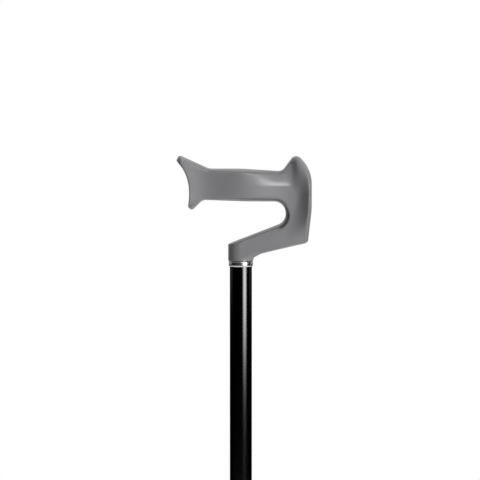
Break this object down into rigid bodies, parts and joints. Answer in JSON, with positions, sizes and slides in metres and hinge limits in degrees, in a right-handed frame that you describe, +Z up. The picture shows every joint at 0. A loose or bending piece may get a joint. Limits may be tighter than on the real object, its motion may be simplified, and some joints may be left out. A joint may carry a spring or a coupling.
{
  "type": "quad walking cane",
  "caption": "Height-adjustable walking cane: moulded handle with a finger guard, telescopic shaft with a snap button and a lock nut, and a broad footed base that turns for either hand.",
  "frame": {"origin": "on the floor under the middle of the box round the whole cane", "axes": "+Z up along the shaft; +X from the heel of the hand to the finger guard; the longer outer legs are on the -Y side"},
  "size_m": [0.206, 0.1638, 0.8434],
  "materials": {
    "grip_plastic": "satin grey moulding",
    "core_metal": "as cast",
    "pin_steel": "turned",
    "ring_chrome": "polished",
    "tube_black": "black anodised, satin gloss",
    "nut_plastic": "black moulding",
    "spring_steel": "bright",
    "disc_plastic": "natural acetal",
    "hub_black": "die-cast, black powder coat",
    "screw_steel": "zinc plated",
    "bow_black": "black powder coat on steel tube",
    "foot_rubber": "matt rubber"
  },
  "bodies": {
    "base": {"hub": "hub_black", "hub_cover": "hub_black", "hub_screws": "screw_steel", "hub_nuts": "screw_steel", "clamp_screw": "screw_steel", "clamp_nut": "screw_steel", "outer_bow": "bow_black", "inner_bow": "bow_black", "ferrule_outer_front": "foot_rubber", "ferrule_outer_rear": "foot_rubber", "ferrule_inner_front": "foot_rubber", "ferrule_inner_rear": "foot_rubber", "washer_outer_front": "pin_steel", "washer_outer_rear": "pin_steel", "washer_inner_front": "pin_steel", "washer_inner_rear": "pin_steel", "thrust_disc": "disc_plastic"},
    "lower_shaft": {"lower_tube": "tube_black", "top_bush": "nut_plastic", "tube_plug": "nut_plastic", "snap_spring": "spring_steel"},
    "button": {"snap_button": "spring_steel"},
    "upper_shaft": {"handle_grip": "grip_plastic", "handle_core": "core_metal", "core_pin": "pin_steel", "collar_ring": "ring_chrome", "upper_tube": "tube_black", "collet_sleeve": "nut_plastic"},
    "lock_nut": {"lock_nut": "nut_plastic"}
  },
  "joints": [
    {"name": "base_turn", "type": "hinge", "parent": "base", "child": "lower_shaft", "pos_m": [0, 0.01701, 0.148], "axis": [0, 0, 1], "range_deg": [0, 180]},
    {"name": "height_adjust", "type": "slide", "parent": "lower_shaft", "child": "upper_shaft", "axis": [0, 0, 1], "range_m": [-0.075, 0.075]},
    {"name": "button_press", "type": "slide", "parent": "lower_shaft", "child": "button", "axis": [0, -1, 0], "range_m": [0, 0.004], "stiffness_N_per_m": 1500, "springref_m": -0.001, "deforming": ["snap_spring"]},
    {"name": "lock_nut_turn", "type": "hinge", "parent": "upper_shaft", "child": "lock_nut", "pos_m": [0, 0.01701, 0.256], "axis": [0, 0, 1], "range_deg": [-270, 0]}
  ]
}
